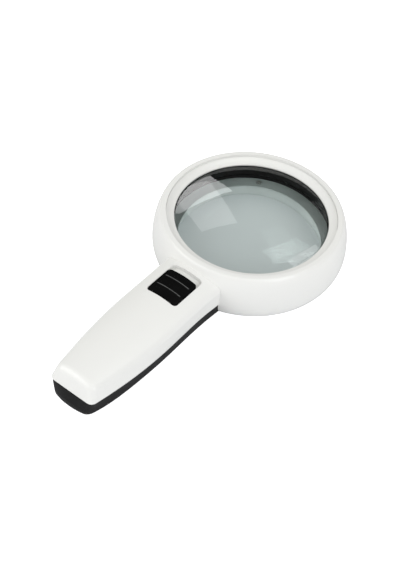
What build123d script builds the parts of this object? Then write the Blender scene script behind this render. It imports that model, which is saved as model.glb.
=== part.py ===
"""Handheld illuminated low vision magnifier: round lens head, flat handle, sliding switch, battery bay.

Axes: +Z is the lens axis, the handle runs along -Y, Z = 0 is the plane that the magnifier rests on.
"""
import os
from math import cos, radians, sin, sqrt

from build123d import *

os.makedirs("parts", exist_ok=True)

# ---------------------------------------------------------------- driving dimensions (mm)
WALL = 2.2                 # moulded wall thickness
GAP = 0.1                  # clearance between pieces that do not move on each other
SLIDE_GAP = 0.3            # clearance between pieces that slide on each other

# head
BELLY_R, BELLY_Z = 56.0, 12.2      # widest place of the head ring
CREST_R, CREST_Z = 51.2, 31.5      # highest place of the head ring
LOW_PULL, HIGH_PULL = 0.6, 0.46    # fullness of the curves below and above the belly
RIM_R, RIM_BORE_R = 46.4, 44.8     # flat annulus that the head rests on
LIP_R, LIP_Z = 44.0, 28.2          # clear opening over the lens
SEAM_R = 48.8                      # joint between bezel and head ring
COLLAR_R, COLLAR_OUT = 46.4, 49.6  # seat of the lens barrel, and the collar's outside
COLLAR_TOP = 8.0                   # top of the lower collar inside the ring
FLOOR_SKIN = 2.6                   # thickness under the ring's hollow
HOLLOW_R, HOLLOW_Z = 53.6, 13.0    # widest place of the ring's hollow
SHOULDER_OUT, SHOULDER_IN = 51.4, 50.4
SHOULDER_TOP, SHOULDER_LOW = 28.6, 20.0
SKIRT_R, SKIRT_LOW, SKIRT_TOP = 47.1, 21.0, 27.2   # bezel skirt that slips over the barrel
BEZEL_EDGE_Z = 29.9                # bezel face at the joint

# lenses
LENS_R, LENS_EDGE = 45.0, 2.0
OPTIC_R = 44.2                     # edge of the curved zone
CURVE_R = 225.0                    # radius of the convex face of each lens
UPPER_LENS_Z = 24.9                # underside of the upper lens rim
LOWER_LENS_Z = 13.5                # underside of the lower lens rim
SPACER_R = 45.1                    # outside of spacer and seal
BARREL_IN, BARREL_OUT = 45.2, 47.0
BARREL_BASE, BARREL_TOP = 8.8, 27.1
SHELF_T = 1.4                      # shelf of the barrel that carries the lower lens

# lamp ring
WELL_R = 38.6                      # open well below the lower lens
LED_COUNT, LED_PITCH_R, LED_R = 12, 41.6, 1.5
LED_CENTRE_Z = 2.4                 # centre of each lamp's round end
HOUSING_R, HOUSING_TOP = 44.6, 7.9
CHANNEL_IN, CHANNEL_OUT, CHANNEL_FLOOR = 39.8, 43.5, 1.4
LED_BOARD_Z, LED_BOARD_T = 5.2, 1.2
LEAD_NOTCH_HALF, LEAD_NOTCH_Z = 2.4, 6.1   # notch where the lamp leads come in

# handle, measured back from the lens axis
REAR = 151.7                       # rear edge at the parting line
SEAM = 98.5                        # joint between front cover and battery cover
PART_Z0, PART_SLOPE = 11.8, 0.022  # parting line height at 52 mm, and its rise towards the rear
TOP_Z, CROWN_R = 27.8, 40.0        # handle top on its centre line, radius of its crown
DROOP_START, DROOP_R = 60.0, 1200.0  # the top falls away gently behind this place
TOP_ROUND, BELLY_ROUND = 4.5, 6.5
# plans: (distance, half width) along the side, then rear edge, its half width, corner and bulge
PARTING_PLAN = ((44, 20.0), (52, 19.2), (62, 18.45), (75, 18.4), (97, 19.1), (120, 18.5), (140, 16.3))
PARTING_END = (REAR, 14.4, 3.6, 0.05)
TOP_PLAN = ((44, 18.7), (52, 18.6), (62, 18.6), (75, 18.4), (97, 17.4), (120, 14.4), (136, 11.9))
TOP_END = (146.0, 10.7, 5.5, 0.6)
BELLY_PLAN = ((44, 18.2), (52, 17.8), (62, 17.4), (75, 17.2), (97, 17.4), (120, 16.7), (140, 14.7))
BELLY_END = (150.6, 11.6, 9.8, 5.2)
BLEND_START = 46.0                 # the handle's long edges are rounded behind this place

# switch
KNOB_FRONT, KNOB_REAR, KNOB_HALF = 61.1, 80.5, 9.8
KNOB_TRAVEL = 4.0
RECESS_FRONT, RECESS_DEPTH = 56.6, 2.6
CARRIER_TOP, CARRIER_BASE = 22.5, 21.3
BOARD_Z, BOARD_T = 13.0, 1.6

# battery bay: three AAA cells, two below and one above
CELL_R, CELL_LEN = 5.25, 44.5
BAY_FRONT, BAY_REAR = 95.2, 143.7
LOW_CELL_X, LOW_CELL_Z = 5.35, 8.0
TOP_CELL_Z = LOW_CELL_Z + sqrt((2 * CELL_R + 0.06) ** 2 - LOW_CELL_X**2)
PLATE_T = 0.5

TRAY_HALF, TRAY_LOW, TRAY_WALL = 11.6, 4.6, 1.2
TRAY_STEP_Z = 9.3                  # the tray is narrower below this height
TRAY_NECK, TRAY_STEP_IN = 139.0, 1.6   # behind this place the lower walls step in
POCKET_R = CELL_R + 0.25
NUB_R, NUB_LEN, SPRING_LEN = 1.9, 0.8, 2.9
WIRE_R, COIL_R, COIL_PITCH = 0.28, 3.0, 0.95

LEAD_R = 0.45                      # insulated leads


def save(piece, label):
    """Label a finished piece and write it as its own STEP file."""
    piece.part.label = label
    export_step(piece.part, f"parts/{label}.step")


def ring(bore, outer, low, high):
    """Plain ring between two radii and two heights."""
    with BuildPart() as piece:
        with BuildSketch(Plane.XY.offset(low)):
            Circle(outer)
            Circle(bore, mode=Mode.SUBTRACT)
        extrude(amount=high - low)
    return piece.part


def block(half_x, front, rear, low, high, corner=0.0, x=0.0):
    """Block from front to rear distances behind the lens axis, with rounded upright corners."""
    with BuildPart() as piece:
        with BuildSketch(Plane.XY.offset(low)):
            with Locations((x, -(front + rear) / 2)):
                if corner:
                    RectangleRounded(2 * half_x, rear - front, corner)
                else:
                    Rectangle(2 * half_x, rear - front)
        extrude(amount=high - low)
    return piece.part


def rod(radius, centre, length, direction=(0, 0, 1)):
    """Round rod that starts at a centre point and runs along a direction."""
    with BuildPart() as piece:
        with BuildSketch(Plane(origin=centre, z_dir=direction)):
            Circle(radius)
        extrude(amount=length)
    return piece.part


# ---------------------------------------------------------------- outer forms shared by several pieces
def head_form(grow=0.0):
    """Filled barrel shape of the head, grown outwards by a given amount."""
    belly, crest = BELLY_R + grow, CREST_Z + grow
    with BuildPart() as form:
        with BuildSketch(Plane.XZ):
            with BuildLine():
                Polyline((0, CREST_Z + grow), (0, -grow), (RIM_R, -grow))
                Bezier(
                    (RIM_R, -grow),
                    (RIM_R + LOW_PULL * (belly - RIM_R), -grow),
                    (belly, BELLY_Z - LOW_PULL * (BELLY_Z + grow)),
                    (belly, BELLY_Z),
                )
                Bezier(
                    (belly, BELLY_Z),
                    (belly, BELLY_Z + HIGH_PULL * (crest - BELLY_Z)),
                    (CREST_R + HIGH_PULL * (belly - CREST_R), crest),
                    (CREST_R, crest),
                )
                Line((CREST_R, crest), (0, crest))
            make_face()
        revolve(axis=Axis.Z)
    return form.part


def outline(plan_widths, end, inset, height):
    """Handle plan at a height: half widths along the side, a rear edge that may bulge, rounded corners."""
    rear, rear_half, corner, bulge = end
    side = [(half - inset, -place) for place, half in (*plan_widths, (rear - inset, rear_half))]
    back = side[-1]
    with BuildSketch() as plan:
        with BuildLine():
            Line((-side[0][0], side[0][1]), side[0])
            Spline(*side)
            ThreePointArc(back, (0, -(rear + bulge - inset)), (-back[0], back[1]))
            Spline(*[(-x, y) for x, y in reversed(side)])
        make_face()
        fillet(plan.vertices().group_by(Axis.Y)[0], corner)
    return plan.sketch.moved(Location((0, 0, height)))


def crown(depth):
    """Everything under the handle's top surface, which is crowned across and droops lengthwise."""
    top = TOP_Z - depth
    radius = CROWN_R - depth
    reach = 30.0
    edge = top - radius + sqrt(radius**2 - reach**2)
    with BuildPart() as form:
        with BuildSketch(Plane(origin=(0, -DROOP_START, 0), x_dir=(1, 0, 0), z_dir=(0, -1, 0))):
            with BuildLine():
                ThreePointArc((-reach, edge), (0, top), (reach, edge))
                Polyline((reach, edge), (reach, -5), (-reach, -5), (-reach, edge))
            make_face()
        axis = Axis((0, -DROOP_START, TOP_Z - DROOP_R), (1, 0, 0))
        revolve(axis=axis, revolution_arc=6)
        extrude(faces().filter_by(Axis.Y).sort_by(Axis.Y)[-1], amount=20)
    return form.part


def upper_form(inset, rounding):
    """White half of the handle as a filled shape, inset from the outside."""
    foot = outline(PARTING_PLAN, PARTING_END, inset, 9)
    waist = outline(PARTING_PLAN, PARTING_END, inset, 14)
    top = outline(TOP_PLAN, TOP_END, inset, 30)
    with BuildPart() as form:
        add(loft([foot, waist], ruled=True))
        add(loft([waist, top], ruled=True))
        add(crown(inset), mode=Mode.INTERSECT)
        brim = form.faces().sort_by(Axis.Z)[-1].edges()
        fillet([edge for edge in brim if edge.center().Y < -BLEND_START], rounding)
    return form.part


def lower_form(inset, rounding):
    """Black half of the handle as a filled shape, inset from the outside."""
    belly = outline(BELLY_PLAN, BELLY_END, inset, inset)
    waist = outline(PARTING_PLAN, PARTING_END, inset, 16)
    with BuildPart() as form:
        add(loft([belly, waist], ruled=True))
        brim = form.faces().sort_by(Axis.Z)[0].edges()
        fillet([edge for edge in brim if edge.center().Y < -BLEND_START], rounding)
    return form.part


def parting(shift=0.0):
    """Plane of the parting line, moved up by a small shift."""
    return Plane(origin=(0, -52, PART_Z0 + shift), z_dir=(0, PART_SLOPE, 1))


HEAD = head_form()
HEAD_CLEAR = head_form(GAP / 2)
HEAD_WALLED = head_form(WALL)
UPPER = upper_form(0, TOP_ROUND)
UPPER_CAVITY = upper_form(WALL, 2.6)
LOWER = lower_form(0, BELLY_ROUND)
LOWER_CAVITY = lower_form(WALL, 4.3)

# places shared by holes, bosses and screws
NECK_SCREWS = [(-10.0, 17.2), (10.0, 17.2)]                      # X and Z
COVER_SCREWS = [(-11.4, 89.5), (11.4, 89.5)]                     # X and distance back
BOARD_SCREWS = [(-5.5, 86.0), (5.5, 86.0)]
NECK_WINDOW = dict(half_x=3.2, low=14.8, high=20.4)
LED_ANGLES = [15 + 360 / LED_COUNT * i for i in range(LED_COUNT)]
LAMP_SCREW_ANGLES = [0, 120, 240]


def around(radius, angles):
    """Points on a circle about the lens axis."""
    return [(radius * cos(radians(a)), radius * sin(radians(a))) for a in angles]


# ---------------------------------------------------------------- head ring
with BuildPart() as head_ring:
    add(HEAD)
    with BuildSketch(Plane.XZ):
        with BuildLine():
            Polyline(
                (SEAM_R, 40), (0, 40), (0, -1), (RIM_BORE_R, -1),
                (RIM_BORE_R, COLLAR_TOP), (COLLAR_R, COLLAR_TOP), (COLLAR_R, FLOOR_SKIN), (COLLAR_OUT, FLOOR_SKIN),
            )
            ThreePointArc((COLLAR_OUT, FLOOR_SKIN), (HOLLOW_R, HOLLOW_Z), (SHOULDER_OUT, SHOULDER_TOP))
            Polyline(
                (SHOULDER_OUT, SHOULDER_TOP), (SHOULDER_IN, SHOULDER_TOP), (SHOULDER_IN, SHOULDER_LOW),
                (SEAM_R, SHOULDER_LOW), (SEAM_R, 40),
            )
        make_face()
    revolve(axis=Axis.Z, mode=Mode.SUBTRACT)
    add(block(NECK_WINDOW["half_x"], 49, 60, NECK_WINDOW["low"], NECK_WINDOW["high"]), mode=Mode.SUBTRACT)
    for x, z in NECK_SCREWS:
        add(rod(1.4, (x, -49, z), 10, (0, -1, 0)), mode=Mode.SUBTRACT)
    add(block(LEAD_NOTCH_HALF, 44, 48, LEAD_NOTCH_Z, COLLAR_TOP), mode=Mode.SUBTRACT)
save(head_ring, "head_ring")

# ---------------------------------------------------------------- bezel ring: lip, bead, sloping face, skirt
BEZEL_R = SEAM_R - GAP
with BuildPart() as bezel_ring:
    with BuildSketch(Plane.XZ):
        with BuildLine():
            Polyline((SKIRT_R, SKIRT_TOP), (LIP_R, SKIRT_TOP), (LIP_R, LIP_Z - 0.35))
            ThreePointArc((LIP_R, LIP_Z - 0.35), (LIP_R + 0.15, LIP_Z - 0.1), (LIP_R + 0.4, LIP_Z))
            Polyline((LIP_R + 0.4, LIP_Z), (LIP_R + 0.8, LIP_Z))
            ThreePointArc((LIP_R + 0.8, LIP_Z), (46.4, 28.5), (BEZEL_R, BEZEL_EDGE_Z))
            Polyline(
                (BEZEL_R, BEZEL_EDGE_Z), (BEZEL_R, SKIRT_LOW), (SKIRT_R, SKIRT_LOW), (SKIRT_R, SKIRT_TOP)
            )
        make_face()
    revolve(axis=Axis.Z)
save(bezel_ring, "bezel_ring")


# ---------------------------------------------------------------- lenses and what holds them
def make_lens(flat_z, rise, label):
    """Plano-convex lens with a flat rim; rise is +1 where the convex face looks up, -1 where it looks down."""
    sag = CURVE_R - sqrt(CURVE_R**2 - OPTIC_R**2)
    shoulder = flat_z + rise * LENS_EDGE
    apex = shoulder + rise * sag
    with BuildPart() as lens:
        with BuildSketch(Plane.XZ):
            with BuildLine():
                Polyline((OPTIC_R, shoulder), (LENS_R, shoulder), (LENS_R, flat_z), (0, flat_z), (0, apex))
                RadiusArc((0, apex), (OPTIC_R, shoulder), rise * CURVE_R)
            make_face()
        revolve(axis=Axis.Z)
    save(lens, label)


make_lens(UPPER_LENS_Z, 1, "upper_lens")
make_lens(LOWER_LENS_Z + LENS_EDGE, -1, "lower_lens")

with BuildPart() as lens_seal:
    add(ring(OPTIC_R + 0.1, SPACER_R, UPPER_LENS_Z + LENS_EDGE, SKIRT_TOP))
save(lens_seal, "lens_seal")

with BuildPart() as lens_spacer:
    add(ring(OPTIC_R + 0.05, SPACER_R, LOWER_LENS_Z + LENS_EDGE, UPPER_LENS_Z))
save(lens_spacer, "lens_spacer")

with BuildPart() as lens_barrel:
    add(ring(BARREL_IN, BARREL_OUT, BARREL_BASE, BARREL_TOP))
    add(ring(OPTIC_R + 0.05, BARREL_IN + 0.1, LOWER_LENS_Z - SHELF_T, LOWER_LENS_Z))
save(lens_barrel, "lens_barrel")

# ---------------------------------------------------------------- lamp ring around the open well
with BuildPart() as lamp_housing:
    add(ring(WELL_R, HOUSING_R, 0, HOUSING_TOP))
    add(ring(CHANNEL_IN, CHANNEL_OUT, CHANNEL_FLOOR, HOUSING_TOP + 1), mode=Mode.SUBTRACT)
    with BuildSketch(Plane.XY.offset(CHANNEL_FLOOR)):
        with Locations(*around(LED_PITCH_R, LAMP_SCREW_ANGLES)):
            Circle(1.7)
    extrude(amount=LED_BOARD_Z - CHANNEL_FLOOR)
    with BuildSketch(Plane.XY.offset(CHANNEL_FLOOR)):
        with Locations(*around(LED_PITCH_R, LAMP_SCREW_ANGLES)):
            Circle(0.75)
    extrude(amount=5, mode=Mode.SUBTRACT)
    with BuildSketch(Plane.XY.offset(-1)):
        with Locations(*around(LED_PITCH_R, LED_ANGLES)):
            Circle(LED_R + 0.35)
    extrude(amount=4, mode=Mode.SUBTRACT)
    add(block(LEAD_NOTCH_HALF, 43, 46, LEAD_NOTCH_Z, HOUSING_TOP + 1), mode=Mode.SUBTRACT)
save(lamp_housing, "lamp_housing")

with BuildPart() as led_board:
    add(ring(CHANNEL_IN + GAP, CHANNEL_OUT - GAP, LED_BOARD_Z, LED_BOARD_Z + LED_BOARD_T))
    with BuildSketch(Plane.XY.offset(LED_BOARD_Z - 1)):
        with Locations(*around(LED_PITCH_R, LAMP_SCREW_ANGLES)):
            Circle(0.9)
    extrude(amount=4, mode=Mode.SUBTRACT)
save(led_board, "led_board")

with BuildPart() as led_lamps:
    with Locations(*[(x, y, LED_CENTRE_Z) for x, y in around(LED_PITCH_R, LED_ANGLES)]):
        Sphere(LED_R)
        Cylinder(LED_R, LED_BOARD_Z - LED_CENTRE_Z, align=(Align.CENTER, Align.CENTER, Align.MIN))
    with Locations(*[(x, y, LED_BOARD_Z - 0.7) for x, y in around(LED_PITCH_R, LED_ANGLES)]):
        Cylinder(LED_R + 0.25, 0.7, align=(Align.CENTER, Align.CENTER, Align.MIN))
save(led_lamps, "led_lamps")

with BuildPart() as lamp_cap:
    add(ring(WELL_R, 46.2, COLLAR_TOP, BARREL_BASE))
    with BuildSketch(Plane.XY.offset(LED_BOARD_Z + LED_BOARD_T)):
        with Locations(*around(LED_PITCH_R, LAMP_SCREW_ANGLES)):
            Circle(1.6)
    extrude(amount=COLLAR_TOP - LED_BOARD_Z - LED_BOARD_T)
    with BuildSketch():
        with Locations(*around(LED_PITCH_R, LAMP_SCREW_ANGLES)):
            Circle(0.85)
    extrude(amount=12, mode=Mode.SUBTRACT)
save(lamp_cap, "lamp_cap")


def screws(label, places, direction, head_r, head_t, shank_r, shank_len, drive_r):
    """Group of identical screws: each place is the underside of the head, the shank runs along direction."""
    away = tuple(-c for c in direction)
    with BuildPart() as group:
        for place in places:
            seat = Plane(origin=place, z_dir=direction)
            with BuildSketch(seat):
                Circle(shank_r)
            extrude(amount=shank_len)
            with BuildSketch(Plane(origin=place, z_dir=away)):
                Circle(head_r)
            extrude(amount=head_t)
            crown_plane = Plane(origin=place, z_dir=away).offset(head_t)
            with BuildSketch(crown_plane):
                Rectangle(2 * drive_r, drive_r / 2.2)
                Rectangle(drive_r / 2.2, 2 * drive_r)
            extrude(amount=-head_t * 0.55, mode=Mode.SUBTRACT)
    save(group, label)


screws(
    "lamp_screws", [(x, y, BARREL_BASE) for x, y in around(LED_PITCH_R, LAMP_SCREW_ANGLES)],
    (0, 0, -1), 1.5, 0.8, 0.7, 6.4, 0.9,
)

# ---------------------------------------------------------------- neck joint between head and handle
with BuildPart() as neck_plate:
    add(ring(51.2, 52.6, 13.5, 22.5))
    add(block(14, 40, 60, 0, 40), mode=Mode.INTERSECT)
    add(block(NECK_WINDOW["half_x"], 40, 60, NECK_WINDOW["low"], NECK_WINDOW["high"]), mode=Mode.SUBTRACT)
    for x, z in NECK_SCREWS:
        add(rod(1.4, (x, -45, z), 12, (0, -1, 0)), mode=Mode.SUBTRACT)
save(neck_plate, "neck_plate")

screws(
    "neck_screws", [(x, -49.4, z) for x, z in NECK_SCREWS], (0, -1, 0), 2.1, 1.3, 1.2, 11.5, 1.3
)

# ---------------------------------------------------------------- handle top shell
RECESS_HALF = KNOB_HALF + 0.35
RECESS_REAR = KNOB_REAR + 0.35
FLOOR_T = 1.5
SLOT_FRONT, SLOT_REAR = 64.0, 73.0
BOSS_HALF = 2.3

pan = block(RECESS_HALF + 1.6, RECESS_FRONT - 1.6, RECESS_REAR + 1.6, 15, 40, corner=3.5)
recess = block(RECESS_HALF, RECESS_FRONT, RECESS_REAR, 15, 40, corner=2.3)

with BuildPart() as top_hollow:
    add(UPPER_CAVITY)
    add(HEAD_WALLED, mode=Mode.SUBTRACT)
    add(pan - crown(RECESS_DEPTH + FLOOR_T), mode=Mode.SUBTRACT)
    for x, z in NECK_SCREWS:
        add(rod(3.1, (x, -50, z), 12.0, (0, -1, 0)), mode=Mode.SUBTRACT)
    for x, s in COVER_SCREWS:
        add(block(BOSS_HALF, s - BOSS_HALF, s + BOSS_HALF, 5, 35, x=x), mode=Mode.SUBTRACT)
    for x, s in BOARD_SCREWS:
        add(block(2.0, s - 2.0, s + 2.0, BOARD_Z + BOARD_T, 35, x=x), mode=Mode.SUBTRACT)

with BuildPart() as handle_top_shell:
    add(UPPER)
    add(top_hollow.part, mode=Mode.SUBTRACT)
    add(recess - crown(RECESS_DEPTH), mode=Mode.SUBTRACT)
    add(block(2.0, SLOT_FRONT, SLOT_REAR, 15, 40, corner=0.8), mode=Mode.SUBTRACT)
    add(block(NECK_WINDOW["half_x"], 49, 60, NECK_WINDOW["low"], NECK_WINDOW["high"]), mode=Mode.SUBTRACT)
    for x, z in NECK_SCREWS:
        add(rod(1.25, (x, -50, z), 12.5, (0, -1, 0)), mode=Mode.SUBTRACT)
    for x, s in COVER_SCREWS:
        add(rod(1.2, (x, -s, 5), 17), mode=Mode.SUBTRACT)
    for x, s in BOARD_SCREWS:
        add(rod(0.8, (x, -s, BOARD_Z), 7), mode=Mode.SUBTRACT)
    add(HEAD_CLEAR, mode=Mode.SUBTRACT)
    split(bisect_by=parting(), keep=Keep.TOP)
save(handle_top_shell, "handle_top_shell")

# ---------------------------------------------------------------- black underside: fixed cover and battery cover
TONGUE_HALF = 6.5
COUNTERBORE_R, COUNTERBORE_Z = 2.4, 5.0

with BuildPart() as handle_front_cover:
    add(LOWER)
    add(LOWER_CAVITY - HEAD_WALLED, mode=Mode.SUBTRACT)
    for x, s in COVER_SCREWS:
        add(rod(3.4, (x, -s, 0), 13) & LOWER)
    for x, s in COVER_SCREWS:
        add(rod(COUNTERBORE_R, (x, -s, -1), COUNTERBORE_Z + 1), mode=Mode.SUBTRACT)
        add(rod(1.35, (x, -s, 0), 16), mode=Mode.SUBTRACT)
    add(block(TONGUE_HALF + SLIDE_GAP, 95, 100, 1.0, 3), mode=Mode.SUBTRACT)
    add(HEAD_CLEAR, mode=Mode.SUBTRACT)
    split(bisect_by=parting(-GAP), keep=Keep.BOTTOM)
    split(bisect_by=Plane.XZ.offset(SEAM - SLIDE_GAP / 2), keep=Keep.BOTTOM)
save(handle_front_cover, "handle_front_cover")

GRIP_COUNT, GRIP_PITCH = 6, 2.0
with BuildPart() as battery_cover:
    add(LOWER)
    add(LOWER_CAVITY, mode=Mode.SUBTRACT)
    split(bisect_by=parting(-SLIDE_GAP / 2), keep=Keep.BOTTOM)
    split(bisect_by=Plane.XZ.offset(SEAM + SLIDE_GAP / 2), keep=Keep.TOP)
    add(block(TONGUE_HALF, 95.8, 100, 1.3, 2.2))
    for i in range(GRIP_COUNT):
        place = SEAM + 6 + GRIP_PITCH * i
        add(block(7.5 - 0.5 * abs(2 * i - GRIP_COUNT + 1), place, place + 0.9, -1, 0.5), mode=Mode.SUBTRACT)
save(battery_cover, "battery_cover")

screws(
    "cover_screws", [(x, -s, COUNTERBORE_Z) for x, s in COVER_SCREWS], (0, 0, 1), 2.2, 1.5, 1.15, 15.0, 1.3
)

# ---------------------------------------------------------------- sliding switch
STEM_FRONT, STEM_REAR, STEM_TOP = 68.5, 72.5, 25.8
RIDGES = (66.4, 73.7)
FACET_TILT = 2.2
KNOB_PROUD = 0.35


def tilted_crown(ridge, tilt):
    """Crown surface turned a little about a line across the knob, which leaves a ridge there."""
    pivot = Axis((0, -ridge, TOP_Z + KNOB_PROUD), (1, 0, 0))
    return crown(-KNOB_PROUD).rotate(pivot, tilt)


with BuildPart() as switch_knob:
    add(block(KNOB_HALF, KNOB_FRONT, KNOB_REAR, 18, 40, corner=2.0))
    add(crown(-KNOB_PROUD), mode=Mode.INTERSECT)
    add(tilted_crown(RIDGES[0], -FACET_TILT), mode=Mode.INTERSECT)
    add(tilted_crown(RIDGES[1], FACET_TILT), mode=Mode.INTERSECT)
    add(crown(RECESS_DEPTH - 0.2), mode=Mode.SUBTRACT)
    for place in RIDGES:
        bar = block(8.4, place - 0.2, place + 0.2, 18, 40, corner=0.19)
        add((bar & crown(-KNOB_PROUD - 0.12)) - crown(0.6))
    add(block(1.65, STEM_FRONT - 0.05, STEM_REAR + 0.05, 18, STEM_TOP + 0.1), mode=Mode.SUBTRACT)
save(switch_knob, "switch_knob")

with BuildPart() as switch_carrier:
    add(block(6.0, 64.4, 76.4, CARRIER_BASE, CARRIER_TOP, corner=1.0))
    add(block(1.6, STEM_FRONT, STEM_REAR, CARRIER_BASE, STEM_TOP))
    add(block(2.0, 67.6, 69.0, 19.4, CARRIER_BASE))
    add(block(2.0, 71.6, 73.0, 19.4, CARRIER_BASE))
save(switch_carrier, "switch_carrier")

CAN_TOP = 19.0
with BuildPart() as switch_lever:
    add(block(1.0, 69.2, 71.4, CAN_TOP - 1.0, CARRIER_BASE - 0.2))
save(switch_lever, "switch_lever")

with BuildPart() as switch_can:
    add(block(3.3, 62.2, 74.8, BOARD_Z + BOARD_T, CAN_TOP, corner=0.4))
    add(block(1.3, 64.8, 71.8, CAN_TOP - 1.3, CAN_TOP + 1), mode=Mode.SUBTRACT)
save(switch_can, "switch_can")

# ---------------------------------------------------------------- main board
with BuildPart() as main_board:
    add(block(8.2, 60.0, 92.6, BOARD_Z, BOARD_Z + BOARD_T, corner=1.0))
    for x, s in BOARD_SCREWS:
        add(rod(0.95, (x, -s, BOARD_Z - 1), 4), mode=Mode.SUBTRACT)
save(main_board, "main_board")

screws(
    "board_screws", [(x, -s, BOARD_Z) for x, s in BOARD_SCREWS], (0, 0, 1), 1.6, 1.0, 0.75, 6.0, 1.0
)

with BuildPart() as resistors:
    for x in (-4.0, 0.0, 4.0):
        add(block(0.8, 77.5, 80.7, BOARD_Z + BOARD_T, BOARD_Z + BOARD_T + 0.7, x=x))
save(resistors, "resistors")

# ---------------------------------------------------------------- battery tray, cells and contacts
CELL_PLACES = {
    "cell_left": (-LOW_CELL_X, LOW_CELL_Z, False),
    "cell_right": (LOW_CELL_X, LOW_CELL_Z, True),
    "cell_top": (0.0, TOP_CELL_Z, False),
}
BAY_LEN = BAY_REAR - BAY_FRONT

with BuildPart() as battery_tray:
    add(block(TRAY_HALF, BAY_FRONT - TRAY_WALL, BAY_REAR + TRAY_WALL, TRAY_STEP_Z - GAP, 30))
    add(upper_form(WALL + GAP, 2.4), mode=Mode.INTERSECT)
    add(block(TRAY_HALF, BAY_FRONT - TRAY_WALL, TRAY_NECK, TRAY_LOW, TRAY_STEP_Z + GAP))
    add(block(TRAY_HALF - TRAY_STEP_IN, TRAY_NECK, BAY_REAR + TRAY_WALL, TRAY_LOW, TRAY_STEP_Z + GAP))
    for x, z, _ in CELL_PLACES.values():
        add(rod(POCKET_R, (x, -BAY_FRONT, z), BAY_LEN, (0, -1, 0)), mode=Mode.SUBTRACT)
    add(block(LOW_CELL_X + POCKET_R, BAY_FRONT, BAY_REAR, 0, LOW_CELL_Z), mode=Mode.SUBTRACT)
    add(block(POCKET_R, BAY_FRONT, BAY_REAR, LOW_CELL_Z, TOP_CELL_Z), mode=Mode.SUBTRACT)
save(battery_tray, "battery_tray")



def make_cell(label, x, z, nub_in_front):
    """One AAA cell: can with rounded rims, positive nub, flat negative end."""
    if nub_in_front:
        start, direction = BAY_FRONT + PLATE_T + 0.05 + CELL_LEN, (0, 1, 0)
    else:
        start, direction = BAY_FRONT + PLATE_T + SPRING_LEN + 0.05, (0, -1, 0)
    with BuildPart() as cell:
        with BuildSketch(Plane(origin=(x, -start, z), z_dir=direction)):
            Circle(CELL_R)
        extrude(amount=CELL_LEN - NUB_LEN)
        fillet(cell.edges().filter_by(GeomType.CIRCLE), 0.5)
        with BuildSketch(Plane(origin=(x, -start, z), z_dir=direction).offset(CELL_LEN - NUB_LEN)):
            Circle(NUB_R)
        extrude(amount=NUB_LEN)
    save(cell, label)


for label, place in CELL_PLACES.items():
    make_cell(label, *place)

with BuildPart() as contact_plates:
    for x, z, _ in CELL_PLACES.values():
        for front in (BAY_FRONT, BAY_REAR - PLATE_T):
            with BuildSketch(Plane(origin=(x, -front, z), z_dir=(0, -1, 0))):
                RectangleRounded(7.0, 7.0, 1.0)
            extrude(amount=PLATE_T)
save(contact_plates, "contact_plates")

COIL_RISE = SPRING_LEN - 2 * WIRE_R - 0.1


def make_spring(x, z, foot, direction):
    """Coil that presses on a cell's negative end."""
    seat = Plane(origin=(x, -foot, z), z_dir=direction).offset(WIRE_R + 0.05)
    with BuildPart() as spring:
        with BuildLine() as coil:
            Helix(COIL_PITCH, COIL_RISE, COIL_R)
        with BuildSketch(Plane(origin=coil.line @ 0, z_dir=coil.line % 0)):
            Circle(WIRE_R)
        sweep(path=coil.line)
    return spring.part.moved(seat.location)


with BuildPart() as contact_springs:
    for x, z, nub_in_front in CELL_PLACES.values():
        if nub_in_front:
            add(make_spring(x, z, BAY_REAR - PLATE_T, (0, 1, 0)))
        else:
            add(make_spring(x, z, BAY_FRONT + PLATE_T, (0, -1, 0)))
save(contact_springs, "contact_springs")


# ---------------------------------------------------------------- internal leads
def make_lead(label, points, bend):
    """Insulated lead: straight runs joined by tangent arcs."""
    with BuildPart() as lead:
        with BuildLine() as route:
            FilletPolyline(*points, radius=bend)
        with BuildSketch(Plane(origin=route.line @ 0, z_dir=route.line % 0)):
            Circle(LEAD_R)
        sweep(path=route.line)
    save(lead, label)


for label, x in (("lamp_lead_red", -1.4), ("lamp_lead_black", 1.4)):
    make_lead(
        label,
        [(x, -61.6, 15.1), (x, -58.6, 15.1), (x, -55.4, 17.6), (x, -49.1, 17.6), (x, -48.9, 6.9), (x, -42.4, 6.9)],
        1.3,
    )
for label, x in (("battery_lead_red", 4.6), ("battery_lead_black", -4.6)):
    make_lead(label, [(x, -93.4, 8.4), (x, -93.4, 12.5), (x, -89.4, 12.5)], 1.5)
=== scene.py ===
"""Studio scene of a handheld low vision magnifier with its lamp ring, sliding key and battery bay."""
from math import cos, pi, radians, sin, sqrt

import bmesh
import bpy
from mathutils import Matrix, Quaternion, Vector


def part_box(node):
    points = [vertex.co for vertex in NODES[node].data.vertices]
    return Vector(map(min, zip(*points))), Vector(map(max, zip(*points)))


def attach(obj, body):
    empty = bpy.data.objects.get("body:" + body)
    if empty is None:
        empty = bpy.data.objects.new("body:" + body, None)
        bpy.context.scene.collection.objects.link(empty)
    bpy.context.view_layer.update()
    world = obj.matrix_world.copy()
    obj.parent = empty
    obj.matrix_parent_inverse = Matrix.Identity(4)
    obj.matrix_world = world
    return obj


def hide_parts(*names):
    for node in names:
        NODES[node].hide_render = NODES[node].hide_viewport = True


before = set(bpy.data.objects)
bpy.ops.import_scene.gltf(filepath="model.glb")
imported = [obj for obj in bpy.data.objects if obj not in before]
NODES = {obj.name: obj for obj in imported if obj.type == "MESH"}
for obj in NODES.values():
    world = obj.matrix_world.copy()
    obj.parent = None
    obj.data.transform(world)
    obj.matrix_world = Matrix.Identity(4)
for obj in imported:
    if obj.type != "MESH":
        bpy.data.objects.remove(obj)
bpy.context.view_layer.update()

MM = 0.001

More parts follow.
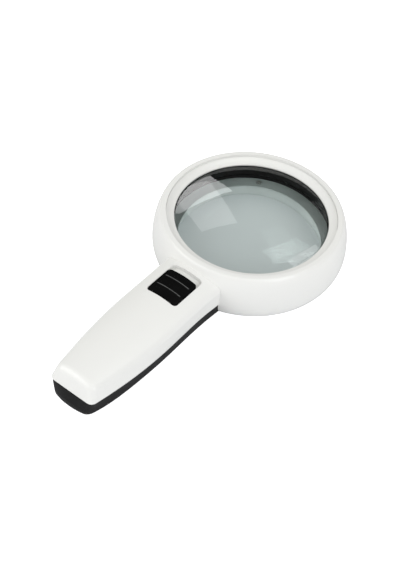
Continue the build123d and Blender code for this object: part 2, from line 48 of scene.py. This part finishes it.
# ------------------------------------------------------------------ camera
AIM_POINT = Vector((10.6, -60.1, 27.5)) * MM   # a place on the handle beside the sliding key
AIM_DISTANCE = 700 * MM
VIEW_AZIMUTH = radians(35.22)                  # from the handle's end round to its right side
VIEW_HEIGHT = radians(47.27)
VIEW_LEAN = radians(4.745)
FOCAL_LENGTH = 82.105
NEAREST_SEEN = 10 * MM


def direction(azimuth, height):
    """Unit vector at an azimuth from the handle's end (-Y) towards +X, and a height above the floor."""
    level = cos(height)
    return Vector((level * sin(azimuth), -level * cos(azimuth), sin(height)))


def make_camera():
    """The studio camera, rolled a little about its own axis."""
    towards = direction(VIEW_AZIMUTH, VIEW_HEIGHT)
    data = bpy.data.cameras.new("studio_camera")
    data.lens = FOCAL_LENGTH
    data.clip_start = NEAREST_SEEN
    camera = bpy.data.objects.new("studio_camera", data)
    bpy.context.scene.collection.objects.link(camera)
    camera.location = AIM_POINT + towards * AIM_DISTANCE
    turn = (-towards).to_track_quat("-Z", "Y") @ Quaternion((0, 0, 1), VIEW_LEAN)
    camera.rotation_euler = turn.to_euler()
    bpy.context.scene.camera = camera


# ------------------------------------------------------------------ light
ROOM_COLOUR = (1.0, 1.0, 0.99)
ROOM_LIGHT = 0.68             # the pale room as it lights the matt surfaces
ROOM_LIGHT_MIRRORED = 0.05    # the same room as glossy and clear faces show it
GLOW_WIDTH = 72 * MM
GLOW_POWER = 0.0070
GLOW_COLOUR = (1.0, 1.0, 0.985)
GLOW_GAP = 0.9 * MM           # height of the glow above the lamp ring


def soft_box(name, place, target, width, height, power, colour=(1, 1, 1), roll=0.0):
    """Rectangular soft box at a place, facing a target, turned about its own axis by roll."""
    data = bpy.data.lights.new(name, "AREA")
    data.shape = "RECTANGLE"
    data.size = width
    data.size_y = height
    data.energy = power
    data.color = colour
    lamp = bpy.data.objects.new(name, data)
    bpy.context.scene.collection.objects.link(lamp)
    lamp.location = place
    facing = (Vector(target) - Vector(place)).to_track_quat("-Z", "Y")
    lamp.rotation_euler = (facing @ Quaternion((0, 0, 1), roll)).to_euler()
    return lamp


def light_studio():
    """Soft boxes, a pale room, the glow of the lamp ring, and small windows that glint in the lens."""
    lens = Vector((0, 0, 28)) * MM
    soft_box("key_box", (-0.58, -0.82, 0.64), lens, 0.8, 0.8, 5.0, (1.0, 0.998, 0.985))
    soft_box("overhead_box", (0.5, 0.15, 1.4), lens, 1.0, 1.0, 3.2, (1.0, 1.0, 0.99))
    soft_box("fill_box", (1.9, -0.6, 0.9), lens, 1.2, 1.2, 14.0, (0.97, 0.98, 1.0))
    window_boxes = (
        soft_box("window_box", (-0.603, 0.473, 0.503), lens, 0.19, 0.283, 0.62, roll=radians(-68)),
        soft_box("second_window_box", (-0.532, 0.451, 0.599), lens, 0.18, 0.369, 0.42, roll=radians(9)),
        soft_box("thin_strip_box", (-0.02, 0.526, 0.759), lens, 0.204, 0.04, 0.07, roll=radians(83)),
    )

    page = (0, 0, 0)
    above_ring = (0, 0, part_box("lamp_housing")[1].z + GLOW_GAP)
    glow = soft_box("lamp_ring_glow", above_ring, page, GLOW_WIDTH, GLOW_WIDTH, GLOW_POWER, GLOW_COLOUR)
    glow.data.shape = "ELLIPSE"

    world = bpy.data.worlds.new("studio_air")
    bpy.context.scene.world = world
    world.use_nodes = True
    tree = world.node_tree
    tree.nodes.clear()
    path = tree.nodes.new("ShaderNodeLightPath")
    strength = tree.nodes.new("ShaderNodeMapRange")
    strength.inputs["To Min"].default_value = ROOM_LIGHT
    strength.inputs["To Max"].default_value = ROOM_LIGHT_MIRRORED
    tree.links.new(path.outputs["Is Glossy Ray"], strength.inputs["Value"])
    air = tree.nodes.new("ShaderNodeBackground")
    air.inputs["Color"].default_value = (*ROOM_COLOUR, 1)
    tree.links.new(strength.outputs[0], air.inputs["Strength"])
    out = tree.nodes.new("ShaderNodeOutputWorld")
    tree.links.new(air.outputs[0], out.inputs["Surface"])
    return window_boxes


def light_only(boxes, pieces):
    """Let the given boxes light the given pieces and nothing else."""
    group = bpy.data.collections.new("polished_pieces")
    for piece in pieces:
        group.objects.link(piece)
    for box in boxes:
        box.light_linking.receiver_collection = group


# ------------------------------------------------------------------ node helpers
def new_group(name, inputs, outputs):
    """Empty shader node group with float or colour sockets; inputs are (name, kind, value)."""
    group = bpy.data.node_groups.new(name, "ShaderNodeTree")
    for label, kind, value in inputs:
        socket = group.interface.new_socket(label, in_out="INPUT", socket_type=kind)
        socket.default_value = value
    for label, kind in outputs:
        group.interface.new_socket(label, in_out="OUTPUT", socket_type=kind)
    entry = group.nodes.new("NodeGroupInput")
    leave = group.nodes.new("NodeGroupOutput")
    return group, entry, leave


def own_place(tree):
    """Coordinates that belong to the piece itself, in metres."""
    return tree.nodes.new("ShaderNodeTexCoord").outputs["Object"]


def noise(tree, coordinates, scale, detail=2.0, roughness=0.5):
    """Noise texture; its scale is a socket or a plain number."""
    node = tree.nodes.new("ShaderNodeTexNoise")
    if isinstance(scale, (int, float)):
        node.inputs["Scale"].default_value = scale
    else:
        tree.links.new(scale, node.inputs["Scale"])
    node.inputs["Detail"].default_value = detail
    node.inputs["Roughness"].default_value = roughness
    tree.links.new(coordinates, node.inputs["Vector"])
    return node


def reckon(tree, operation, first, second=None, clamp=False):
    """One step of arithmetic; each operand is a socket or a plain number."""
    node = tree.nodes.new("ShaderNodeMath")
    node.operation = operation
    node.use_clamp = clamp
    for slot_index, operand in enumerate((first, second)):
        if operand is None:
            continue
        if isinstance(operand, (int, float)):
            node.inputs[slot_index].default_value = operand
        else:
            tree.links.new(operand, node.inputs[slot_index])
    return node.outputs[0]


def mix_colour(tree, factor, first, second):
    """Colour mix; each colour is a socket or a plain RGB triple."""
    node = tree.nodes.new("ShaderNodeMix")
    node.data_type = "RGBA"
    for slot_index, operand in ((0, factor), (6, first), (7, second)):
        if isinstance(operand, tuple):
            node.inputs[slot_index].default_value = (*operand, 1)
        elif isinstance(operand, (int, float)):
            node.inputs[slot_index].default_value = operand
        else:
            tree.links.new(operand, node.inputs[slot_index])
    return node.outputs[2]


def spread(tree, value, from_low, from_high, to_low, to_high):
    """Map a value between two ranges; each end is a socket or a plain number."""
    node = tree.nodes.new("ShaderNodeMapRange")
    names = ("From Min", "From Max", "To Min", "To Max")
    tree.links.new(value, node.inputs["Value"])
    for label, operand in zip(names, (from_low, from_high, to_low, to_high)):
        if isinstance(operand, (int, float)):
            node.inputs[label].default_value = operand
        else:
            tree.links.new(operand, node.inputs[label])
    return node.outputs[0]


# ------------------------------------------------------------------ effects shared by several materials
def make_moulded_skin():
    """Injection-moulded plastic: fine grain, slow flow marks in the gloss, faint uneven tone."""
    group, entry, leave = new_group(
        "moulded_skin",
        (
            ("Grain Size", "NodeSocketFloat", 0.0005),
            ("Flow Size", "NodeSocketFloat", 0.03),
            ("Smooth Roughness", "NodeSocketFloat", 0.25),
            ("Dull Roughness", "NodeSocketFloat", 0.35),
            ("Colour", "NodeSocketColor", (0.8, 0.8, 0.8, 1)),
            ("Uneven Colour", "NodeSocketColor", (0.75, 0.75, 0.75, 1)),
        ),
        (("Colour", "NodeSocketColor"), ("Roughness", "NodeSocketFloat"), ("Grain", "NodeSocketFloat")),
    )
    place = own_place(group)
    grain = noise(group, place, reckon(group, "DIVIDE", 1.0, entry.outputs["Grain Size"]), 3.0, 0.6)
    flow = noise(group, place, reckon(group, "DIVIDE", 1.0, entry.outputs["Flow Size"]), 2.0, 0.4)
    flow_mask = spread(group, flow.outputs["Fac"], 0.35, 0.65, 0.0, 1.0)
    smooth = entry.outputs["Smooth Roughness"]
    dull = entry.outputs["Dull Roughness"]
    roughness = spread(group, flow_mask, 0.0, 1.0, smooth, dull)
    colour = mix_colour(group, flow_mask, entry.outputs["Colour"], entry.outputs["Uneven Colour"])
    group.links.new(colour, leave.inputs["Colour"])
    group.links.new(roughness, leave.inputs["Roughness"])
    group.links.new(grain.outputs["Fac"], leave.inputs["Grain"])
    return group


def make_drawn_metal():
    """Rolled or drawn metal: fine lines along one direction and a slow change of tone."""
    group, entry, leave = new_group(
        "drawn_metal",
        (
            ("Line Width", "NodeSocketFloat", 0.0001),
            ("Line Length", "NodeSocketFloat", 0.004),
            ("Bright Colour", "NodeSocketColor", (0.6, 0.6, 0.6, 1)),
            ("Dark Colour", "NodeSocketColor", (0.4, 0.4, 0.4, 1)),
            ("Smooth Roughness", "NodeSocketFloat", 0.2),
            ("Dull Roughness", "NodeSocketFloat", 0.4),
        ),
        (("Colour", "NodeSocketColor"), ("Roughness", "NodeSocketFloat"), ("Lines", "NodeSocketFloat")),
    )
    place = own_place(group)
    stretch = group.nodes.new("ShaderNodeCombineXYZ")
    across = reckon(group, "DIVIDE", 1.0, entry.outputs["Line Width"])
    along = reckon(group, "DIVIDE", 1.0, entry.outputs["Line Length"])
    group.links.new(across, stretch.inputs["X"])
    group.links.new(along, stretch.inputs["Y"])
    group.links.new(across, stretch.inputs["Z"])
    scaled = group.nodes.new("ShaderNodeVectorMath")
    scaled.operation = "MULTIPLY"
    group.links.new(place, scaled.inputs[0])
    group.links.new(stretch.outputs[0], scaled.inputs[1])
    lines = noise(group, scaled.outputs[0], 1.0)
    tone = noise(group, place, 240.0)
    tone_mask = spread(group, tone.outputs["Fac"], 0.3, 0.7, 0.0, 1.0)
    colour = mix_colour(group, tone_mask, entry.outputs["Bright Colour"], entry.outputs["Dark Colour"])
    smooth = entry.outputs["Smooth Roughness"]
    dull = entry.outputs["Dull Roughness"]
    roughness = spread(group, lines.outputs["Fac"], 0.3, 0.7, smooth, dull)
    group.links.new(colour, leave.inputs["Colour"])
    group.links.new(roughness, leave.inputs["Roughness"])
    group.links.new(lines.outputs["Fac"], leave.inputs["Lines"])
    return group


# ------------------------------------------------------------------ materials
def new_material(name):
    """Material with a Principled shader wired to its output."""
    material = bpy.data.materials.new(name)
    material.use_nodes = True
    tree = material.node_tree
    tree.nodes.clear()
    shader = tree.nodes.new("ShaderNodeBsdfPrincipled")
    out = tree.nodes.new("ShaderNodeOutputMaterial")
    tree.links.new(shader.outputs[0], out.inputs["Surface"])
    return material, tree, shader


def add_bump(tree, shader, height, depth):
    """Bump of a given depth in metres, fed by a height."""
    bump = tree.nodes.new("ShaderNodeBump")
    bump.inputs["Distance"].default_value = depth
    bump.inputs["Strength"].default_value = 1.0
    tree.links.new(height, bump.inputs["Height"])
    tree.links.new(bump.outputs[0], shader.inputs["Normal"])


def plastic(name, colour, uneven, roughness, grain_size, grain_depth, flow_size=0.03, level=0.5):
    """Moulded plastic or rubber with its own colour, gloss and grain; level is how much it mirrors."""
    material, tree, shader = new_material(name)
    skin = tree.nodes.new("ShaderNodeGroup")
    skin.node_tree = MOULDED_SKIN
    skin.inputs["Grain Size"].default_value = grain_size
    skin.inputs["Flow Size"].default_value = flow_size
    skin.inputs["Smooth Roughness"].default_value = roughness[0]
    skin.inputs["Dull Roughness"].default_value = roughness[1]
    skin.inputs["Colour"].default_value = (*colour, 1)
    skin.inputs["Uneven Colour"].default_value = (*uneven, 1)
    tree.links.new(skin.outputs["Colour"], shader.inputs["Base Color"])
    tree.links.new(skin.outputs["Roughness"], shader.inputs["Roughness"])
    shader.inputs["IOR"].default_value = 1.5
    shader.inputs["Specular IOR Level"].default_value = level
    add_bump(tree, shader, skin.outputs["Grain"], grain_depth)
    return material


def metal(name, bright, dark, roughness, line_width, line_length, line_depth):
    """Plated or rolled sheet metal, or a machined screw."""
    material, tree, shader = new_material(name)
    drawn = tree.nodes.new("ShaderNodeGroup")
    drawn.node_tree = DRAWN_METAL
    drawn.inputs["Line Width"].default_value = line_width
    drawn.inputs["Line Length"].default_value = line_length
    drawn.inputs["Bright Colour"].default_value = (*bright, 1)
    drawn.inputs["Dark Colour"].default_value = (*dark, 1)
    drawn.inputs["Smooth Roughness"].default_value = roughness[0]
    drawn.inputs["Dull Roughness"].default_value = roughness[1]
    tree.links.new(drawn.outputs["Colour"], shader.inputs["Base Color"])
    tree.links.new(drawn.outputs["Roughness"], shader.inputs["Roughness"])
    shader.inputs["Metallic"].default_value = 1.0
    add_bump(tree, shader, drawn.outputs["Lines"], line_depth)
    return material


def open_where(tree, shader, mask, tint=(1, 1, 1)):
    """Open the surface, with a tint, wherever the mask is 1."""
    out = [node for node in tree.nodes if node.type == "OUTPUT_MATERIAL"][0]
    open_air = tree.nodes.new("ShaderNodeBsdfTransparent")
    open_air.inputs["Color"].default_value = (*tint, 1)
    mix = tree.nodes.new("ShaderNodeMixShader")
    tree.links.new(mask, mix.inputs[0])
    tree.links.new(shader.outputs[0], mix.inputs[1])
    tree.links.new(open_air.outputs[0], mix.inputs[2])
    tree.links.new(mix.outputs[0], out.inputs["Surface"])


def clear_for_shadows(tree, shader, tint):
    """Let shadow rays pass a clear piece, tinted, so that what lies under it is lit."""
    path = tree.nodes.new("ShaderNodeLightPath")
    open_where(tree, shader, path.outputs["Is Shadow Ray"], tint)


RESIN_TINT = (0.93, 0.975, 0.96)
RESIN_SHADOW_TINT = (0.985, 0.998, 0.995)
UNCOATED_MIRROR = 1.0
COATED_MIRROR = 0.12


def make_optical(name, mirror):
    """Cast optical resin, faintly green, with a slight swirl from polishing.

    mirror is the share of a bare face's mirroring that is left.
    """
    material, tree, shader = new_material(name)
    shader.inputs["Specular Tint"].default_value = (mirror, mirror, mirror, 1)
    shader.inputs["Base Color"].default_value = (*RESIN_TINT, 1)
    shader.inputs["Transmission Weight"].default_value = 1.0
    shader.inputs["IOR"].default_value = 1.49
    shader.inputs["Roughness"].default_value = 0.0
    swirl = noise(tree, own_place(tree), 90.0)
    add_bump(tree, shader, swirl.outputs["Fac"], 0.000004)
    clear_for_shadows(tree, shader, RESIN_SHADOW_TINT)
    return material


def make_lamp_clear():
    """Clear epoxy of the light-emitting diodes, slightly cloudy in patches."""
    material, tree, shader = new_material("lamp_clear")
    cloud = noise(tree, own_place(tree), 900.0, 3.0)
    roughness = spread(tree, cloud.outputs["Fac"], 0.3, 0.7, 0.03, 0.14)
    tree.links.new(roughness, shader.inputs["Roughness"])
    shader.inputs["Base Color"].default_value = (0.94, 0.95, 0.96, 1)
    shader.inputs["Transmission Weight"].default_value = 1.0
    shader.inputs["IOR"].default_value = 1.5
    clear_for_shadows(tree, shader, (0.95, 0.95, 0.96))
    return material


def make_board_green():
    """Printed board: solder mask over copper tracks, with a woven glass base in the bump."""
    material, tree, shader = new_material("board_green")
    place = own_place(tree)
    weave = tree.nodes.new("ShaderNodeTexBrick")
    weave.inputs["Scale"].default_value = 260.0
    weave.inputs["Mortar Size"].default_value = 0.16
    weave.inputs["Mortar Smooth"].default_value = 0.3
    weave.offset = 0.5
    weave.inputs["Color1"].default_value = (1, 1, 1, 1)
    weave.inputs["Color2"].default_value = (1, 1, 1, 1)
    weave.inputs["Mortar"].default_value = (0, 0, 0, 1)
    tree.links.new(place, weave.inputs["Vector"])
    blotch = noise(tree, place, 350.0)
    mask = spread(tree, weave.outputs["Color"], 0.0, 1.0, 0.0, 0.8)
    tracks = mix_colour(tree, mask, (0.012, 0.075, 0.030), (0.020, 0.120, 0.045))
    tone = spread(tree, blotch.outputs["Fac"], 0.35, 0.65, 0.0, 0.35)
    tree.links.new(mix_colour(tree, tone, tracks, (0.010, 0.060, 0.024)), shader.inputs["Base Color"])
    shader.inputs["Roughness"].default_value = 0.32
    add_bump(tree, shader, weave.outputs["Color"], 0.00002)
    return material


CELL_CAP = 1.4 * MM       # bare metal at the raised end
CELL_BASE = 0.4 * MM      # bare metal at the flat end
CELL_COLLAR = 10.5 * MM   # from the raised end to where the dark sleeve begins


def make_cell_wrap():
    """Battery cell: plain shrink sleeve with a pale collar at the raised end, bare metal at both ends."""
    material, tree, shader = new_material("cell_wrap")
    place = own_place(tree)
    split = tree.nodes.new("ShaderNodeSeparateXYZ")
    tree.links.new(place, split.inputs[0])
    low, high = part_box("cell_left")
    at_end = reckon(tree, "GREATER_THAN", split.outputs["Y"], high.y - CELL_CAP)
    at_base = reckon(tree, "LESS_THAN", split.outputs["Y"], low.y + CELL_BASE)
    bare = reckon(tree, "ADD", at_end, at_base, clamp=True)
    collar = reckon(tree, "GREATER_THAN", split.outputs["Y"], high.y - CELL_COLLAR)
    crease = noise(tree, place, 420.0)
    sleeve = mix_colour(tree, collar, (0.020, 0.045, 0.110), (0.62, 0.60, 0.54))
    tree.links.new(mix_colour(tree, bare, sleeve, (0.56, 0.54, 0.50)), shader.inputs["Base Color"])
    tree.links.new(bare, shader.inputs["Metallic"])
    gloss = spread(tree, crease.outputs["Fac"], 0.3, 0.7, 0.22, 0.34)
    tree.links.new(gloss, shader.inputs["Roughness"])
    add_bump(tree, shader, crease.outputs["Fac"], 0.00003)
    return material


def make_phosphor():
    """Yellow phosphor gel over a white diode's chip."""
    material, tree, shader = new_material("lamp_phosphor")
    grain = noise(tree, own_place(tree), 6000.0, 3.0, 0.6)
    mask = spread(tree, grain.outputs["Fac"], 0.3, 0.7, 0.0, 1.0)
    colour = mix_colour(tree, mask, (0.80, 0.62, 0.10), (0.70, 0.50, 0.06))
    tree.links.new(colour, shader.inputs["Base Color"])
    shader.inputs["Roughness"].default_value = 0.6
    add_bump(tree, shader, grain.outputs["Fac"], 0.00003)
    return material


RIDGE_PLACES = (-66.4 * MM, -73.7 * MM)
RIDGE_WIDTH = 0.26 * MM
RIDGE_REACH = 8.3 * MM
# grey painted along the tops of the key's ridges as a highlight where they catch the light
RIDGE_HIGHLIGHT_GREY = (0.11, 0.11, 0.11)


def make_key_black():
    """Polished black of the sliding key, with a painted grey highlight along the top of each of its two
    ridges.
    """
    material = plastic(
        "black_gloss", (0.003, 0.003, 0.003), (0.0045, 0.0045, 0.0045), (0.2, 0.27), 0.0006, 0.000004,
        flow_size=0.012, level=0.3,
    )
    tree = material.node_tree
    shader = [node for node in tree.nodes if node.type == "BSDF_PRINCIPLED"][0]
    skin_colour = shader.inputs["Base Color"].links[0].from_socket
    place = own_place(tree)
    split = tree.nodes.new("ShaderNodeSeparateXYZ")
    tree.links.new(place, split.inputs[0])
    bands = []
    for ridge in RIDGE_PLACES:
        offset = reckon(tree, "ABSOLUTE", reckon(tree, "SUBTRACT", split.outputs["Y"], ridge))
        bands.append(spread(tree, offset, RIDGE_WIDTH * 0.6, RIDGE_WIDTH * 1.3, 1.0, 0.0))
    on_ridge = reckon(tree, "ADD", bands[0], bands[1], clamp=True)
    side = reckon(tree, "ABSOLUTE", split.outputs["X"])
    in_reach = spread(tree, side, RIDGE_REACH * 0.93, RIDGE_REACH, 1.0, 0.0)
    # painted highlight: the ridge tops turn grey, patchy along their length and fading towards the key's
    # sides
    highlight_noise = noise(tree, place, 700.0, 2.0, 0.6)
    uneven = spread(tree, highlight_noise.outputs["Fac"], 0.25, 0.6, 0.45, 1.0)
    painted_highlight = reckon(tree, "MULTIPLY", reckon(tree, "MULTIPLY", on_ridge, in_reach), uneven)
    tree.links.new(mix_colour(tree, painted_highlight, skin_colour, RIDGE_HIGHLIGHT_GREY), shader.inputs["Base Color"])
    return material


def make_materials():
    """Every finish by the name of its material slot."""
    return {
        "white_gloss": plastic(
            "white_gloss", (0.800, 0.800, 0.775), (0.788, 0.790, 0.770), (0.22, 0.27), 0.0012, 0.000006,
            flow_size=0.045,
        ),
        "optical": make_optical("optical", UNCOATED_MIRROR),
        "seal_rubber": plastic(
            "seal_rubber", (0.016, 0.016, 0.017), (0.022, 0.022, 0.022), (0.55, 0.7), 0.0004, 0.00002,
        ),
        "black_satin": plastic(
            "black_satin", (0.003, 0.003, 0.003), (0.005, 0.005, 0.005), (0.45, 0.58), 0.0003, 0.000012,
            level=0.08,
        ),
        "lamp_white": plastic(
            "lamp_white", (0.70, 0.72, 0.715), (0.66, 0.68, 0.675), (0.3, 0.4), 0.0006, 0.00001,
        ),
        "black_shell": plastic(
            "black_shell", (0.008, 0.008, 0.0082), (0.010, 0.010, 0.010), (0.42, 0.5), 0.00032, 0.000016,
            flow_size=0.02, level=0.12,
        ),
        "black_gloss": make_key_black(),
        "board_green": make_board_green(),
        "lamp_clear": make_lamp_clear(),
        "screw_steel": metal(
            "screw_steel", (0.66, 0.65, 0.64), (0.52, 0.51, 0.50), (0.34, 0.5), 0.00012, 0.0006, 0.000008
        ),
        "plate_steel": metal(
            "plate_steel", (0.60, 0.60, 0.59), (0.48, 0.48, 0.47), (0.34, 0.5), 0.0001, 0.006, 0.000006
        ),
        "resistor_black": plastic(
            "resistor_black", (0.012, 0.012, 0.013), (0.02, 0.02, 0.02), (0.3, 0.45), 0.0002, 0.00001,
            flow_size=0.002,
        ),
        "tray_grey": plastic(
            "tray_grey", (0.10, 0.10, 0.105), (0.12, 0.12, 0.125), (0.45, 0.6), 0.0004, 0.00002
        ),
        "cell_wrap": make_cell_wrap(),
        "contact_nickel": metal(
            "contact_nickel", (0.66, 0.62, 0.55), (0.52, 0.49, 0.44), (0.16, 0.32), 0.00008, 0.003, 0.000005
        ),
        "lead_red": plastic(
            "lead_red", (0.42, 0.018, 0.012), (0.36, 0.014, 0.010), (0.35, 0.5), 0.0003, 0.000012,
            flow_size=0.006,
        ),
        "lead_black": plastic(
            "lead_black", (0.012, 0.012, 0.012), (0.018, 0.018, 0.018), (0.38, 0.5), 0.0003, 0.000012,
            flow_size=0.006,
        ),
    }


def dress_frame(materials):
    """Give each carried-over node the finish of its slot."""
    for node in NODES.values():
        for index, old in enumerate(node.data.materials):
            node.data.materials[index] = materials[old.name.split(".")[0]]


# ------------------------------------------------------------------ pieces built here
CRISP_FROM = radians(32)


def link_mesh(name, mesh_builder, material):
    """Finish a bmesh into an object with smooth faces and crisp edges."""
    mesh = bpy.data.meshes.new(name)
    bmesh.ops.recalc_face_normals(mesh_builder, faces=mesh_builder.faces)
    mesh_builder.to_mesh(mesh)
    mesh_builder.free()
    mesh.shade_smooth()
    mesh.set_sharp_from_angle(angle=CRISP_FROM)
    mesh.materials.append(material)
    piece = bpy.data.objects.new(name, mesh)
    bpy.context.scene.collection.objects.link(piece)
    return piece


def turned(profile, segments):
    """Surface turned about the lens axis from (radius, height) points; a zero radius makes a pole."""
    builder = bmesh.new()
    rows = []
    for radius, height in profile:
        if radius == 0:
            rows.append([builder.verts.new((0, 0, height))])
            continue
        turn = [2 * pi * step / segments for step in range(segments)]
        rows.append([builder.verts.new((radius * cos(a), radius * sin(a), height)) for a in turn])
    for inner, outer in zip(rows, rows[1:]):
        for step in range(segments):
            after = (step + 1) % segments
            if len(inner) == 1:
                builder.faces.new((inner[0], outer[step], outer[after]))
            elif len(outer) == 1:
                builder.faces.new((inner[step], outer[0], inner[after]))
            else:
                builder.faces.new((inner[step], outer[step], outer[after], inner[after]))
    return builder


LENS_EDGE = 2.0 * MM
LENS_LAND = 0.8 * MM      # flat land between the curved zone and the rim
LENS_BEVEL = 0.25 * MM
LENS_ROWS = 30
LENS_SEGMENTS = 240


def make_lens(node_name, rise, polished, coated):
    """Plano-convex lens with a flat land and a bevelled rim, sized from its CAD node.

    rise is 1 where the convex face looks up and -1 where it looks down. Only the top of the upper lens
    is left uncoated.
    """
    low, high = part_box(node_name)
    rim = high.x
    zone = rim - LENS_LAND
    dome = high.z - low.z - LENS_EDGE
    curve = (zone * zone + dome * dome) / (2 * dome)
    flat = low.z if rise > 0 else high.z
    profile = []
    for row in range(LENS_ROWS + 1):
        radius = zone * row / LENS_ROWS
        height = LENS_EDGE + dome - curve + sqrt(curve * curve - radius * radius)
        profile.append((radius, height))
    profile += [(rim - LENS_BEVEL, LENS_EDGE), (rim, LENS_EDGE - LENS_BEVEL)]
    profile += [(rim, LENS_BEVEL), (rim - LENS_BEVEL, 0), (zone / 2, 0), (0, 0)]
    placed = [(radius, flat + rise * height) for radius, height in profile]
    piece = link_mesh(node_name + "_polished", turned(placed, LENS_SEGMENTS), polished)
    piece.data.materials.append(coated)
    for face in piece.data.polygons:
        face.material_index = 0 if face.normal.z > 0.5 and rise > 0 else 1
    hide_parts(node_name)
    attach(piece, "root")
    return piece


LAMP_COUNT = 12
LAMP_RING_R = 41.6 * MM
CHIP_HALF = 0.62 * MM
CHIP_DEPTH = 0.22 * MM
CHIP_BEVEL = 0.06 * MM
CHIP_GAP = 0.03 * MM


def make_lamp_chips(material):
    """Phosphor-covered chips under the lamp board, one inside each clear diode."""
    board_low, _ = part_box("led_board")
    builder = bmesh.new()
    for lamp in range(LAMP_COUNT):
        angle = 2 * pi * (lamp + 0.5) / LAMP_COUNT
        place = Matrix.Rotation(angle, 4, "Z") @ Matrix.Translation(
            (LAMP_RING_R, 0, board_low.z - CHIP_DEPTH / 2 - CHIP_GAP)
        )
        size = Matrix.Diagonal((2 * CHIP_HALF, 2 * CHIP_HALF, CHIP_DEPTH, 1))
        bmesh.ops.create_cube(builder, size=1, matrix=place @ size)
    edges = list(builder.edges)
    bmesh.ops.bevel(builder, geom=edges, offset=CHIP_BEVEL, segments=2, affect="EDGES")
    piece = link_mesh("lamp_chips", builder, material)
    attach(piece, "root")


# ------------------------------------------------------------------ floor
FLOOR_HALF = 6.0
FLOOR_DROP = 0.15 * MM    # just clear of the ring that the head rests on
FLOOR_LIFT = 0.9          # extra light that the camera sees from the floor


def make_floor():
    """Plain pale floor, lit a little like a light table where the camera sees it, open from below."""
    builder = bmesh.new()
    bmesh.ops.create_grid(builder, x_segments=8, y_segments=8, size=FLOOR_HALF)
    material, tree, shader = new_material("pale_floor")
    cloud = noise(tree, own_place(tree), 1.5)
    tone = spread(tree, cloud.outputs["Fac"], 0.3, 0.7, 0.0, 1.0)
    colour = mix_colour(tree, tone, (0.76, 0.765, 0.785), (0.74, 0.745, 0.77))
    tree.links.new(colour, shader.inputs["Base Color"])
    shader.inputs["Roughness"].default_value = 0.9
    shader.inputs["Specular IOR Level"].default_value = 0.0
    shader.inputs["Emission Color"].default_value = (1, 1, 1, 1)
    path = tree.nodes.new("ShaderNodeLightPath")
    lift = spread(tree, path.outputs["Is Camera Ray"], 0.0, 1.0, 0.0, FLOOR_LIFT)
    tree.links.new(lift, shader.inputs["Emission Strength"])
    side = tree.nodes.new("ShaderNodeNewGeometry")
    open_where(tree, shader, side.outputs["Backfacing"])
    floor = link_mesh("studio_floor", builder, material)
    floor.location.z = -FLOOR_DROP


# ------------------------------------------------------------------ build
make_camera()
WINDOW_BOXES = light_studio()
MOULDED_SKIN = make_moulded_skin()
DRAWN_METAL = make_drawn_metal()
MATERIALS = make_materials()
dress_frame(MATERIALS)
COATED = make_optical("optical_coated", COATED_MIRROR)
UPPER_LENS = make_lens("upper_lens", 1, MATERIALS["optical"], COATED)
make_lens("lower_lens", -1, MATERIALS["optical"], COATED)
light_only(WINDOW_BOXES, [UPPER_LENS])
make_lamp_chips(make_phosphor())
make_floor()

studio = bpy.context.scene
studio.view_settings.view_transform = "Standard"
studio.cycles.caustics_reflective = False
studio.cycles.caustics_refractive = False
